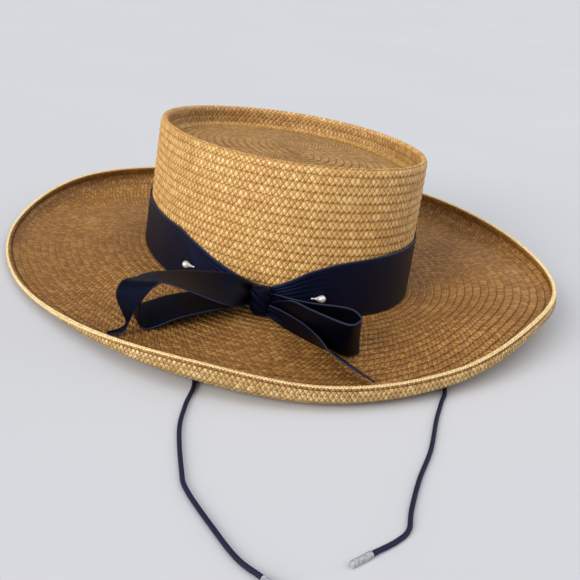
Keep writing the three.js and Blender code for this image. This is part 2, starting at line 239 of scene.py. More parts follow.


# Plaited straw: strands cross at a slant. UV counts cells along the braid and rows across it,
# and each row's edges lie at a half. The edge under the next row gets a dashed line of painted shade
def strawFinish(name):
    tones = strawTones[name]
    finish = Finish(name, Specular_IOR_Level=tones["specular"])
    along, across = finish.uv()
    rising = along + across
    falling = along - across
    risingCell = rising.maths("FLOOR")
    fallingCell = falling.maths("FLOOR")
    risingPart = rising - risingCell
    fallingPart = falling - fallingCell
    over = (risingCell + fallingCell).maths("FLOORED_MODULO", 2.0)
    side = risingPart + (fallingPart - risingPart) * over
    length = fallingPart + (risingPart - fallingPart) * over
    fromMiddle = (side * 2.0 - 1.0).maths("ABSOLUTE")
    fromCentre = (length * 2.0 - 1.0).maths("ABSOLUTE")
    roundness = (1.0 - fromMiddle ** 2.8) * (1.0 - fromCentre ** 5.0)
    cell = finish.node("ShaderNodeCombineXYZ", None, risingCell, fallingCell, over)
    chance = finish.node("ShaderNodeTexWhiteNoise", {"noise_dimensions": "3D"}, Vector=cell)
    strandNumber = risingCell * 1.7 + fallingCell
    fibrePlace = finish.node("ShaderNodeCombineXYZ", None, side * 8.0, length * 0.8, strandNumber)
    fibre = finish.noise(fibrePlace, 1.0, 2.0, 0.6)
    patches = finish.noise(finish.objectPlace(), 38.0, 3.0, 0.55)
    tone = chance * 0.35 + fibre * 0.55 + patches * 0.3 - 0.1
    strand = finish.node(
        "ShaderNodeValToRGB",
        {"stops": [
            (0.12, colour(*tones["dark"])),
            (0.5, colour(*tones["middle"])),
            (0.88, colour(*tones["light"])),
        ]},
        tone,
    )
    # painted shade: the cracks between strands are blended toward the dark gap colour
    gap = (1.0 - roundness) ** 3.2
    # painted shade: a dashed dark line on each row along the edge that lies under the next row
    row = (across - 0.5).maths("FLOORED_MODULO", 1.0)
    hidden = 1.0 - row if tones["underStart"] else row
    dash = (along * (4 * math.pi)).maths("COSINE") * 0.3 + 0.7
    seamShade = hidden ** 9.0 * dash * tones["seamShade"]
    shade = (gap * tones["gapShadeShare"]).maths("MAXIMUM", seamShade).maths("MINIMUM", 1.0)
    base = finish.blend(shade, strand, (*colour(*tones["gap"]), 1))
    finish.relief(roundness + fibre * 0.18, 0.8, 0.6 * mm)
    return finish.dress(Base_Color=base, Roughness=0.34 + shade * 0.4 + fibre * 0.12)


# Ribbed ribbon: UV is millimetres along it and a share of its width
def ribbonFinish(name, ior, specular, tones):
    finish = Finish(name, IOR=ior, Specular_IOR_Level=specular)
    finish.shader.inputs["Specular Tint"].default_value = (0.3, 0.4, 1.0, 1)
    along, across = finish.uv()
    rib = (along * (math.pi / 0.8)).maths("SINE").maths("ABSOLUTE")
    thread = (across * (math.pi * 90)).maths("SINE").maths("ABSOLUTE")
    # lighter edges: partly the selvage's smoother thread, partly a painted highlight where the ribbon's edge
    # catches the light
    selvageAndGlint = (across * 2.0 - 1.0).maths("ABSOLUTE") ** 40.0
    cloud = finish.noise(finish.objectPlace(), 60.0, 3.0, 0.5)
    cloth = finish.node(
        "ShaderNodeValToRGB",
        {"stops": list(zip((0.25, 0.6, 0.95), tones))},
        rib * 0.4 + cloud * 0.35 + thread * 0.1,
    )
    base = finish.blend(selvageAndGlint * 0.7, cloth, (0.035, 0.042, 0.08, 1))
    finish.relief(rib + thread * 0.25 + selvageAndGlint * 0.6, 0.4, 0.12 * mm)
    return finish.dress(Base_Color=base, Roughness=0.56 - rib * 0.08)


def strandFinish():
    finish = Finish("paleStrand", Specular_IOR_Level=0.8)
    fibre = finish.noise(finish.objectPlace(), 900.0, 2.0, 0.6)
    base = finish.node(
        "ShaderNodeValToRGB",
        {"stops": [(0.3, colour(206, 166, 96)), (0.7, colour(252, 234, 182))]},
        fibre,
    )
    return finish.dress(Base_Color=base, Roughness=0.36 + fibre * 0.2)


def cordFinish():
    finish = Finish("navyCord", Specular_IOR_Level=0.3)
    along, across = finish.uv()
    left = ((along + across) * math.pi).maths("SINE").maths("ABSOLUTE")
    right = ((along - across) * math.pi).maths("SINE").maths("ABSOLUTE")
    braid = left * right
    base = finish.node(
        "ShaderNodeValToRGB",
        {"stops": [
            (0.0, (0.001, 0.0016, 0.006)),
            (0.5, (0.004, 0.0075, 0.036)),
            (1.0, (0.014, 0.024, 0.09)),
        ]},
        braid,
    )
    finish.relief(braid, 0.7, 0.25 * mm)
    return finish.dress(Base_Color=base, Roughness=0.75 - braid * 0.2)


def pearlFinish():
    finish = Finish("pearlBead", Metallic=0.35, Coat_Weight=0.8, Coat_Roughness=0.05)
    cloud = finish.noise(finish.objectPlace(), 420.0, 3.0, 0.6)
    base = finish.node(
        "ShaderNodeValToRGB",
        {"stops": [(0.3, colour(196, 190, 182)), (0.7, colour(238, 234, 226))]},
        cloud,
    )
    return finish.dress(Base_Color=base, Roughness=0.16 + cloud * 0.14)


def agletFinish():
    finish = Finish("clearSleeve", Coat_Weight=0.6, Coat_Roughness=0.08)
    place = finish.objectPlace()
    cloud = finish.noise(place, 700.0, 3.0, 0.6)
    base = finish.node(
        "ShaderNodeValToRGB",
        {"stops": [(0.3, colour(120, 124, 132)), (0.7, colour(188, 190, 194))]},
        cloud,
    )
    return finish.dress(Base_Color=base, Roughness=0.22 + cloud * 0.15)


def tapeFinish():
    finish = Finish("navyTape", Sheen_Weight=0.2)
    place = finish.objectPlace()
    split = finish.node("ShaderNodeSeparateXYZ", None, place)
    up = Wire(finish, split.socket.node.outputs[2])
    side = Wire(finish, split.socket.node.outputs[1])
    weave = (up * (math.pi / (0.6 * mm))).maths("SINE") * (side * (math.pi / (0.6 * mm))).maths("SINE")
    base = finish.node(
        "ShaderNodeValToRGB",
        {"stops": [(0.2, (0.008, 0.012, 0.04)), (0.8, (0.025, 0.036, 0.12))]},
        weave * 0.5 + 0.5,
    )
    finish.relief(weave, 0.5, 0.2 * mm)
    return finish.dress(Base_Color=base, Roughness=0.8 - weave * 0.08)


def floorFinish():
    finish = Finish("paleFloor", Roughness=0.9)
    cloud = finish.noise(finish.objectPlace(), 3.0, 3.0, 0.5)
    red, green, blue, _ = room["floorColour"]
    base = finish.node(
        "ShaderNodeValToRGB",
        {"stops": [(0.3, (red * 0.97, green * 0.97, blue * 0.97)), (0.7, (red, green, blue))]},
        cloud,
    )
    return finish.dress(Base_Color=base)


crownStraw = strawFinish("crownStraw")
shadedTipStraw = strawFinish("shadedTipStraw")
brownerShadedBrimStraw = strawFinish("brownerShadedBrimStraw")
paleStraw = strawFinish("paleStraw")
paleStrand = strandFinish()
navyRibbon = ribbonFinish(
    "navyGrosgrain", 1.25, 0.5,
    ((0.0006, 0.0006, 0.0016), (0.001, 0.0011, 0.0034), (0.0018, 0.0022, 0.008)),
)
# lighter copy of the bow's grosgrain for the band: painted light for the window light on the band's left
# side
litNavyBand = ribbonFinish(
    "litNavyBandGrosgrain", 1.35, 0.6,
    ((0.0008, 0.001, 0.0034), (0.0014, 0.0019, 0.008), (0.003, 0.0042, 0.02)),
)
navyCord = cordFinish()
pearl = pearlFinish()
clearSleeve = agletFinish()
navyTape = tapeFinish()
studioFloor.data.materials.append(floorFinish())
print("materials ready")

# Shaping helpers


def smoothThrough(points, steps):
    # curve through the points, at `steps` even parts of each span
    points = np.asarray(points, float)
    padded = np.vstack([2 * points[0] - points[1], points, 2 * points[-1] - points[-2]])
    t = np.linspace(0, 1, steps, endpoint=False)[:, None]
    curve = []
    for before, start, end, after in zip(padded, padded[1:], padded[2:], padded[3:]):
        bend = 2 * before - 5 * start + 4 * end - after
        twist = 3 * start - before - 3 * end + after
        curve.append(0.5 * (2 * start + (end - before) * t + bend * t ** 2 + twist * t ** 3))
    return np.vstack([*curve, points[-1:]])


def evenly(line, count):
    # the same line at `count` points of equal distance
    lengths = np.concatenate([[0], np.cumsum(np.linalg.norm(np.diff(line, axis=0), axis=1))])
    places = np.linspace(0, lengths[-1], count)
    return np.column_stack([np.interp(places, lengths, line[:, part]) for part in range(line.shape[1])])


def gridPiece(name, along, across, place, uvScale=(1, 1), uvStart=(0, 0)):
    bpy.ops.object.select_all(action="DESELECT")
    bpy.ops.mesh.primitive_grid_add(x_subdivisions=along, y_subdivisions=across, size=1, calc_uvs=True)
    piece = bpy.context.object
    piece.name = name
    mesh = piece.data
    corners = np.empty(len(mesh.vertices) * 3)
    mesh.vertices.foreach_get("co", corners)
    corners = corners.reshape(-1, 3) + 0.5
    mesh.vertices.foreach_set("co", place(corners[:, 0], corners[:, 1]).ravel())
    layer = mesh.uv_layers["UVMap"]
    marks = np.empty(len(mesh.loops) * 2)
    layer.uv.foreach_get("vector", marks)
    marks = marks.reshape(-1, 2) * uvScale + uvStart
    layer.uv.foreach_set("vector", marks.ravel())
    mesh.update()
    return piece


def tubePiece(name, line, radius, sides, uvScale=(1, 1), closed=False):
    # round tube along a line in metres, with a round cap at each open end
    radii = np.full(len(line), radius)
    ahead = np.gradient(line, axis=0)
    if closed:
        ahead[0] = ahead[-1] = line[1] - line[-2]
    else:
        line = np.vstack([line[:1], line, line[-1:]])
        ahead = np.vstack([ahead[:1], ahead, ahead[-1:]])
        radii = np.concatenate([[radius * 0.02], radii, [radius * 0.02]])
    ahead /= np.linalg.norm(ahead, axis=1, keepdims=True)
    sideways = np.cross(ahead, (0, 0, 1))
    sideways /= np.linalg.norm(sideways, axis=1, keepdims=True)
    lift = np.cross(sideways, ahead)

    def place(s, w):
        column = np.round(s * (len(line) - 1)).astype(int)
        turn = (w * 2 * np.pi)[:, None]
        ring = np.cos(turn) * sideways[column] + np.sin(turn) * lift[column]
        return line[column] + radii[column][:, None] * ring

    piece = gridPiece(name, len(line) - 1, sides, place, uvScale)
    weld(piece, 0.001 * mm)
    return piece


def joined(name, parts):
    bpy.ops.object.select_all(action="DESELECT")
    for part in parts:
        part.select_set(True)
    bpy.context.view_layer.objects.active = parts[0]
    bpy.ops.object.join()
    piece = bpy.context.object
    piece.name = name
    return piece


def weld(piece, distance=0.01 * mm):
    bpy.ops.object.select_all(action="DESELECT")
    piece.select_set(True)
    bpy.context.view_layer.objects.active = piece
    bpy.ops.object.mode_set(mode="EDIT")
    bpy.ops.mesh.select_all(action="SELECT")
    bpy.ops.mesh.remove_doubles(threshold=distance)
    bpy.ops.object.mode_set(mode="OBJECT")


def modify(piece, kind, **settings):
    bpy.ops.object.select_all(action="DESELECT")
    piece.select_set(True)
    bpy.context.view_layer.objects.active = piece
    modifier = piece.modifiers.new(kind.title(), kind)
    for key, value in settings.items():
        setattr(modifier, key, value)
    bpy.ops.object.modifier_apply(modifier=modifier.name)


def finishPiece(piece, material, slot, *nodes):
    # the crown stands a little left of the whole hat's middle
    piece.data.transform(Matrix.Translation((-crown["offMiddle"] * mm, 0, 0)))
    piece.data.materials.clear()
    piece.data.materials.append(material)
    bpy.ops.object.select_all(action="DESELECT")
    piece.select_set(True)
    bpy.context.view_layer.objects.active = piece
    bpy.ops.object.shade_smooth()
    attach(piece, "root")
    if nodes:
        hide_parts(*nodes)
    return piece


# The hat's two surfaces, millimetres as in the part

netTurns = 480
crown = {
    "half": (86, 103),
    "topHalf": (85, 100),
    "squareness": 2.17,
    "height": 88.5,
    "frontDrop": 0.03,
    "tipDepth": 14,
    "baseHeight": 6.5,
    "lean": math.radians(2),
    "offMiddle": 3.7,
}
brim = {
    "squareness": 2.1,
    "curlReach": 14,
    "curlShare": 0.6,
    "lipLeanIn": 2.7,
    "seat": 4,
    "foldWidth": 6,
    "halfWall": 1,
}
brimSections = {
    "angle": (0, 30, 60, 90, 120, 150, 180, 210, 235, 256, 277, 300, 330),
    "reach": (99.5, 99, 96.5, 91.5, 97.5, 95.5, 92, 88.5, 95.5, 96, 92, 91, 98),
    "fold": (9.5, 6, 0.5, 0, 0, 0, 1, 2.8, 2.9, 0, 3.3, 15, 13.5),
    "rise": (17, 20.5, 20.5, 18.5, 17, 7.5, 3, 5.5, 14, 13, 12, 10.5, 10),
}
bandEdges = {
    "angle": (0, 90, 150, 183, 204, 216, 228, 236, 244, 250, 258, 270, 300),
    "top": (38, 37, 34, 32.5, 32, 27, 21, 17.5, 15.5, 20, 28, 34, 38),
    "foot": (0.6, 0.6, 0.6, 0.6, 0.6, 0.6, 1, 2, 3, 2, 0.6, 0.6, 0.6),
}


def ovalRadius(angle, halfX, halfY, squareness):
    across = np.abs(np.cos(angle) / halfX) ** squareness
    along = np.abs(np.sin(angle) / halfY) ** squareness
    return (across + along) ** (-1 / squareness)


def roundTable(table, column, angle):
    # smooth periodic value of one column at angles in radians
    at = np.array(table["angle"], float)
    values = np.array(table[column], float)
    here = np.degrees(angle) % 360
    index = np.searchsorted(at, here, side="right") - 1
    spans = (np.roll(at, -1) - at) % 360
    slopes = (np.roll(values, -1) - np.roll(values, 1)) / (spans + np.roll(spans, 1))
    following = (index + 1) % len(at)
    span = spans[index]
    t = ((here - at[index]) % 360) / span
    blend = (3 - 2 * t) * t * t
    bend = slopes[index] * span * t * (1 - t) ** 2 - slopes[following] * span * t * t * (1 - t)
    return values[index] * (1 - blend) + values[following] * blend + bend


def crownPlace(angle, inset, up):
    # point of the crown in the hat's frame, in metres, from an angle, inset and height in mm
    share = up / crown["height"]
    halfX = crown["half"][0] + (crown["topHalf"][0] - crown["half"][0]) * share - inset
    halfY = crown["half"][1] + (crown["topHalf"][1] - crown["half"][1]) * share - inset
    radius = ovalRadius(angle, np.maximum(halfX, 0.01), np.maximum(halfY, 0.01), crown["squareness"])
    x = radius * np.cos(angle)
    y = radius * np.sin(angle)
    z = up - crown["frontDrop"] * share * y
    turn = crown["lean"]
    leanX = x * math.cos(turn) + z * math.sin(turn)
    leanZ = z * math.cos(turn) - x * math.sin(turn) + crown["baseHeight"]
    return np.stack([leanX, y + 0 * x, leanZ], axis=-1) * mm


class Skin:
    # a surface as a net: angles round the head by shares along its section
    def __init__(self, net):
        self.net = net
        ahead = np.roll(net, -1, axis=0) - np.roll(net, 1, axis=0)
        outward = np.gradient(net, axis=1)
        normal = np.cross(ahead, outward)
        size = np.linalg.norm(normal, axis=2, keepdims=True)
        self.normal = normal / np.maximum(size, 1e-12)

    def sample(self, net, turn, share):
        turns, shares = net.shape[:2]
        column = (turn % 1.0) * turns
        row = np.clip(share, 0, 1) * (shares - 1)
        left = np.floor(column).astype(int) % turns
        low = np.minimum(np.floor(row).astype(int), shares - 2)
        acrossPart = (column - np.floor(column))[:, None]
        upPart = (row - low)[:, None]
        right = (left + 1) % turns
        lower = net[left, low] * (1 - acrossPart) + net[right, low] * acrossPart
        upper = net[left, low + 1] * (1 - acrossPart) + net[right, low + 1] * acrossPart
        return lower * (1 - upPart) + upper * upPart

    def place(self, turn, share, lift):
        flat = self.sample(self.net, turn, share)
        return flat + self.sample(self.normal, turn, share) * lift[:, None]

    def evenTurns(self, share, count):
        # turns that divide the ring at that share into equal lengths
        turns = np.linspace(0, 1, 721)
        ring = self.sample(self.net, turns, np.full(turns.shape, share))
        lengths = np.concatenate([[0], np.cumsum(np.linalg.norm(np.diff(ring, axis=0), axis=1))])
        return np.interp(np.linspace(0, lengths[-1], count + 1), lengths, turns), lengths[-1]


def crownNet():
    top = crown["height"]
    tip = top - crown["tipDepth"]
    profile = [
        (0, 0), (0, 22), (0, 44), (0.1, 66), (0.25, top - 4), (0.9, top - 1.2), (2.8, top), (4.5, top - 1.2),
        (5.3, top - 4), (6.0, tip + 4), (7.2, tip + 0.9), (10, tip + 0.2), (20, tip + 0.9), (40, tip + 1.8),
        (60, tip + 2.3), (84.9, tip + 2.5),
    ]
    section = evenly(smoothThrough(profile, 16), 361)
    angles = np.linspace(0, 2 * np.pi, netTurns, endpoint=False)
    inset, up = section[None, :, 0], section[None, :, 1]
    return crownPlace(angles[:, None], inset, up), section


def brimNet():
    angles = np.linspace(0, 2 * np.pi, netTurns, endpoint=False)
    rows = []
    for angle in angles:
        reach = roundTable(brimSections, "reach", angle)
        fold = max(roundTable(brimSections, "fold", angle), 0) + brim["halfWall"]
        rise = roundTable(brimSections, "rise", angle) - brim["halfWall"]
        inner = ovalRadius(angle, *crown["half"], crown["squareness"])
        halves = [half + reach for half in crown["half"]]
        outer = ovalRadius(angle, *halves, brim["squareness"]) - brim["halfWall"]
        seat = crown["baseHeight"] - brim["halfWall"] - math.tan(crown["lean"]) * inner * math.cos(angle)
        curlStart = outer - brim["curlReach"]
        foldStart = curlStart - brim["foldWidth"]
        seatEnd = inner + brim["seat"]
        line = [(inner - 2 * brim["halfWall"], seat), (seatEnd, seat)]
        for share in (0.25, 0.5, 0.75, 1):
            sink = (3 - 2 * share) * share * share
            line.append((seatEnd + (foldStart - inner - brim["seat"]) * share, seat + (fold - seat) * sink))
        line.append((curlStart, fold))
        for turn in (30, 60, 85):
            out = curlStart + brim["curlReach"] * math.sin(math.radians(turn))
            line.append((out, fold + rise * brim["curlShare"] * (1 - math.cos(math.radians(turn)))))
        line.append((outer - brim["lipLeanIn"], fold + rise))
        rows.append(evenly(smoothThrough(line, 12), 161))
    section = np.array(rows)
    away = np.stack([np.cos(angles), np.sin(angles)], axis=1)[:, None, :]
    return np.concatenate([section[:, :, :1] * away, section[:, :, 1:]], axis=2) * mm


def lipNet(net, share, radius, turnFrom, turnTo, count):
    # a rounded bead along one ring of a net, for an edge that folds over
    rowsBack = 8
    row = int(share * (net.shape[1] - 1))
    centre = net[:, row]
    inward = centre - net[:, row - rowsBack]
    inward /= np.linalg.norm(inward, axis=1, keepdims=True)
    ahead = np.roll(centre, -1, axis=0) - np.roll(centre, 1, axis=0)
    ahead /= np.linalg.norm(ahead, axis=1, keepdims=True)
    lift = np.cross(ahead, inward)
    turns = np.radians(np.linspace(turnFrom, turnTo, count))[None, :, None]
    return centre[:, None] + radius * (lift[:, None] * np.cos(turns) + inward[:, None] * np.sin(turns))


# Braid rows

cell = {"tooth": 0.05, "under": 0.1}
plaits = {
    "crown": {
        "length": 3.5 * mm, "sink": 0.85 * mm, "bulge": 0.5 * mm, "step": 0.5 * mm, "tuck": 0.5 * mm,
        "risesOut": False,
    },
    "brim": {
        "length": 3.5 * mm, "sink": -0.35 * mm, "bulge": 0.36 * mm, "step": 0.8 * mm, "tuck": 0.8 * mm,
        "risesOut": True,
    },
    "under": {
        "length": 2.8 * mm, "sink": -0.4 * mm, "bulge": 0.5 * mm, "step": 0.3 * mm, "tuck": 0.4 * mm,
        "risesOut": True,
    },
    "edge": {
        "length": 2.8 * mm, "sink": 0.1 * mm, "bulge": 0.4 * mm, "step": 0.0, "tuck": 0.5 * mm,
        "risesOut": True,
    },
}


# One turn of braid. Its free edge has the strands' teeth and is tucked down, and the other
# edge runs on under the next turn
def braidRow(name, skin, start, end, rowNumber, plait):
    middle = (start + end) / 2
    _, length = skin.evenTurns(middle, 8)
    cells = max(int(round(length / plait["length"])), 6)
    turns, _ = skin.evenTurns(middle, 4 * cells)
    rise = np.array([0, 0, 0.25, 0.5, 0.75, 1, 1])
    outwards = 1 if plait["risesOut"] else -1

    def place(s, w):
        column = np.round(s * 4 * cells).astype(int)
        line = np.round(w * 6).astype(int)
        along, across = column / 4, rise[line] + 0.5
        swell = np.abs(np.sin(np.pi * (along + across)) * np.sin(np.pi * (along - across))) ** 0.6
        fromHidden = line if plait["risesOut"] else 6 - line
        slope = rise[fromHidden]
        tooth = cell["tooth"] * (2 * (column % 2) - 1)
        shift = np.where(fromHidden >= 5, tooth, np.where(fromHidden == 0, -cell["under"], 0))
        lift = plait["step"] * slope + plait["bulge"] * swell - plait["sink"]
        lift = np.where(fromHidden == 6, plait["step"] - plait["sink"] - plait["tuck"], lift)
        lift = np.where(fromHidden == 0, -plait["sink"] - 0.1 * mm, lift)
        return skin.place(turns[column], start + (end - start) * (rise[line] + outwards * shift), lift)

    return gridPiece(name, 4 * cells, 6, place, (cells, 1.5), (rowNumber * 37, rowNumber + 0.25))


def braidRows(name, skin, bounds, plait, material):
    parts = [
        braidRow(f"{name}{number}", skin, start, end, number, plaits[plait])
        for number, (start, end) in enumerate(zip(bounds, bounds[1:]))
    ]
    piece = joined(name, parts)
    weld(piece)
    return finishPiece(piece, material, "straw")


print("helpers ready")


# Heights and pitch of the rows in millimetres along the crown's section
crownRows = {"pitch": 5.12, "rimAt": 83.5, "belowRim": 16, "onSide": 19, "first": 0.002, "last": 0.9995}
crownWall = {"columns": 144, "rows": 48, "uvAround": 170, "behind": 1.0 * mm, "thickness": 0.9 * mm}


def makeCrown():
    net, section = crownNet()
    lengths = np.concatenate([[0], np.cumsum(np.linalg.norm(np.diff(section, axis=0), axis=1))])
    total = lengths[-1]
    pitch = crownRows["pitch"]
    edges = np.arange(crownRows["rimAt"] - crownRows["belowRim"] * pitch, total - 1, pitch) / total
    edges = np.concatenate([[crownRows["first"]], edges, [crownRows["last"]]])
    skin = Skin(net)
    sideRows = crownRows["onSide"]
    braidRows("crown_side_braid", skin, edges[: sideRows + 1], "crown", crownStraw)
    braidRows("crown_tip_braid", skin, edges[sideRows:], "crown", shadedTipStraw)

    def place(s, w):
        return skin.place(s, w, np.full(s.shape, -crownWall["behind"]))

    uvScale = (crownWall["uvAround"], len(edges))
    shell = gridPiece("crown_wall", crownWall["columns"], crownWall["rows"], place, uvScale)
    weld(shell)
    modify(shell, "SOLIDIFY", thickness=crownWall["thickness"], offset=-1)
    finishPiece(shell, crownStraw, "straw", "crown")


# Shares of the brim's section from the crown out, where rows begin and end
brimRows = {"count": 20, "first": 0.012, "lip": 0.985, "near": 11, "underFrom": 0.70, "underCount": 8}
brimWall = {"columns": 180, "rows": 48, "uvAround": 260, "reach": 0.988, "thickness": 0.5 * mm}
edgeBead = {"radius": 1.25 * mm, "turnFrom": -25, "turnTo": 205, "steps": 25}
edgeLoops = {
    "radius": 1.6 * mm, "swing": 40, "turn": 78, "bob": 0.12 * mm,
    "pitch": 3.4 * mm, "thick": 0.42 * mm, "columns": 8, "sides": 5,
}


# Two strands sewn over the lip in turn, which cross between the loops
def makeEdgeLoops(net):
    halfTurn = 180
    lip = Skin(lipNet(net, brimRows["lip"], edgeLoops["radius"], 0, halfTurn, 37))
    _, length = lip.evenTurns(0.5, 8)
    loops = int(round(length / edgeLoops["pitch"]))
    columns = loops * edgeLoops["columns"]
    turns, _ = lip.evenTurns(0.5, columns)
    strands = []
    for number, side in enumerate((1, -1)):
        wave = np.sin(2 * np.pi * loops * np.arange(columns + 1) / columns) * side
        share = (edgeLoops["turn"] + edgeLoops["swing"] * wave) / halfTurn
        bob = np.cos(2 * np.pi * loops * np.arange(columns + 1) / columns) * side
        line = lip.place(turns, share, edgeLoops["bob"] * bob)
        line[-1] = line[0]
        strands.append(
            tubePiece(f"lipStrand{number}", line, edgeLoops["thick"], edgeLoops["sides"], (loops, 1), True)
        )
    piece = joined("brim_edge_loops", strands)
    finishPiece(piece, paleStrand, "straw")


def makeBrim():
    net = brimNet()
    skin = Skin(net[::-1])
    rows, near, lip = brimRows["count"], brimRows["near"], brimRows["lip"]
    bounds = np.linspace(brimRows["first"], lip, rows + 1)
    braidRows("brim_near_braid", skin, bounds[: near + 1], "brim", brownerShadedBrimStraw)
    braidRows("brim_far_braid", skin, bounds[near:], "brim", brownerShadedBrimStraw)
    underBounds = np.linspace(brimRows["underFrom"], lip, brimRows["underCount"] + 1)
    braidRows("brim_under_braid", Skin(net), underBounds, "under", paleStraw)
    bead = lipNet(net, lip, edgeBead["radius"], edgeBead["turnFrom"], edgeBead["turnTo"], edgeBead["steps"])
    edge = Skin(bead)
    braidRows("brim_edge_braid", edge, np.array([0.0, 1.0]), "edge", brownerShadedBrimStraw)
    makeEdgeLoops(net)

    def place(s, w):
        return skin.place(s, w * brimWall["reach"], np.zeros(s.shape))

    uvScale = (brimWall["uvAround"], rows)
    shell = gridPiece("brim_wall", brimWall["columns"], brimWall["rows"], place, uvScale)
    weld(shell)
    modify(shell, "SOLIDIFY", thickness=brimWall["thickness"], offset=0)
    finishPiece(shell, paleStraw, "straw", "brim")


makeCrown()
print("crown ready")
makeBrim()
print("brim ready")

# Ribbon band

band = {"gap": 0.35, "thickness": 1.0, "knotAngle": 244, "pleatReach": 34, "pleatDepth": 0.75, "pleats": 4.5}
pinch = {"angle": 214, "up": 20, "tall": 9, "levelAt": 14, "slant": 0.35, "reach": 7, "depth": 1.1}


def makeBand():
    start = math.radians(band["knotAngle"])

    def place(s, w):
        angle = start + s * 2 * math.pi
        foot = roundTable(bandEdges, "foot", angle)
        top = roundTable(bandEdges, "top", angle)
        up = foot + (top - foot) * w
        away = np.minimum(s, 1 - s) * 360
        pleat = band["pleatDepth"] * np.exp(-((away / band["pleatReach"]) ** 2) * 3)
        fold = pleat * np.sin(2 * np.pi * (w * band["pleats"] + 0.15)) ** 2
        degrees = np.degrees(angle) % 360
        slant = (up - pinch["levelAt"]) * pinch["slant"]
        crease = np.abs(degrees - pinch["angle"] + slant) / pinch["reach"]
        tall = (up - pinch["up"]) / pinch["tall"]
        lift = fold + pinch["depth"] * np.exp(-crease ** 2 * 5) * np.exp(-tall ** 2)
        outside = band["gap"] + band["thickness"] / 2 + lift
        return crownPlace(angle, -outside, up)

    piece = gridPiece("ribbon_band_cloth", 480, 28, place, (610, 1))
    modify(piece, "SOLIDIFY", thickness=0.9 * mm, offset=0)
    finishPiece(piece, litNavyBand, "ribbon", "ribbon_band")


makeBand()

# Bow: a row for each place along a ribbon, its upper and its lower edge in millimetres

loopRight = [
    ((-41.8, -98.6, 22), (-41.8, -98.6, 12)),
    ((-38, -112, 25), (-36, -104, 10.5)),
    ((-31, -123, 27), (-26, -111, 8.5)),
    ((-18, -143, 32), (-10, -130, 7.3)),
    ((-16, -154, 32), (-7, -141, 6.3)),
    ((-21, -162, 33), (-11, -148, 5.8)),
    ((-28, -162, 32), (-20, -147, 5.8)),
    ((-38, -141, 31), (-31, -127, 7.3)),
    ((-42.5, -123, 29), (-38, -113, 10)),
    ((-43.8, -102, 19), (-43.8, -102, 12)),
]
tailRight = [
    ((-46.2, -104.5, 17.5), (-46, -104.5, 11)),
    ((-42.5, -118, 19), (-41, -115, 9)),
    ((-37.5, -132, 18.5), (-35, -126, 7.3)),
    ((-35, -147, 17), (-29, -136, 6.3)),
    ((-34, -159, 14.5), (-24, -144, 5.6)),
    ((-28, -173, 12), (-19, -160, 4.6)),
    ((-18, -179, 6.5), (-15.5, -177, 4.8)),
]
tailLeft = [
    ((-54.6, -91.6, 27), (-57, -95.4, 19)),
    ((-66, -95, 34), (-68, -108, 21)),
    ((-77, -91, 35), (-80, -115, 26)),
    ((-97, -89, 36), (-105, -115, 37)),
    ((-111, -89, 35), (-114, -114, 40)),
    ((-123, -91, 34), (-116, -113, 39.5)),
    ((-131, -95, 34), (-117, -113.5, 38.5)),
    ((-134.5, -97, 29), (-120, -113, 36)),
    ((-134, -98, 24), (-124, -111, 29)),
    ((-131.5, -101, 18), (-127, -108, 22)),
    ((-129.5, -102, 12.5), (-129, -105, 13.5)),
    ((-133, -101, 8.5), (-131.5, -104, 8)),
    ((-140, -101, 7), (-139, -104, 7)),
]
loopLeft = [
    ((-57, -93.8, 14.5), (-54.6, -90.6, 18.5)),
    ((-75, -105, 18.5), (-67, -81, 15)),
    ((-90, -106, 17), (-86, -80, 18)),
    ((-102, -105, 14), (-100, -78, 16)),
    ((-111, -103, 9.5), (-111, -75, 11.5)),
    ((-118, -101, 7), (-118, -73, 9)),
    ((-122.5, -101, 11), (-124, -73, 13)),
    ((-122.5, -102, 19), (-124.5, -74, 21)),
    ((-121, -104, 30), (-122, -78, 27)),
    ((-113, -107, 37), (-113, -81, 32)),
    ((-99, -108, 34.6), (-98, -82, 32.5)),
    ((-84, -107, 27.8), (-80, -84, 29.5)),
    ((-69, -103, 20.5), (-63, -91, 25.5)),
    ((-57, -93.8, 20), (-54.6, -90.6, 24)),
]
bow = {
    "thickness": 0.8, "columns": 168, "rows": 14,
    "intoKnot": 3.5, "pleatReach": 16, "pleatDepth": 0.9, "cup": 0.5,
}
knotCentre = np.array([-49.43, -96.79, 18])


def intoKnot(edges, end):
    # one row more, inside the knot, so that the ribbon comes out of it
    middle = edges[end].mean(axis=0)
    inward = knotCentre - middle
    inward[2] *= 0.2
    step = inward / np.linalg.norm(inward) * bow["intoKnot"]
    return middle + step + (edges[end] - middle) * 0.8


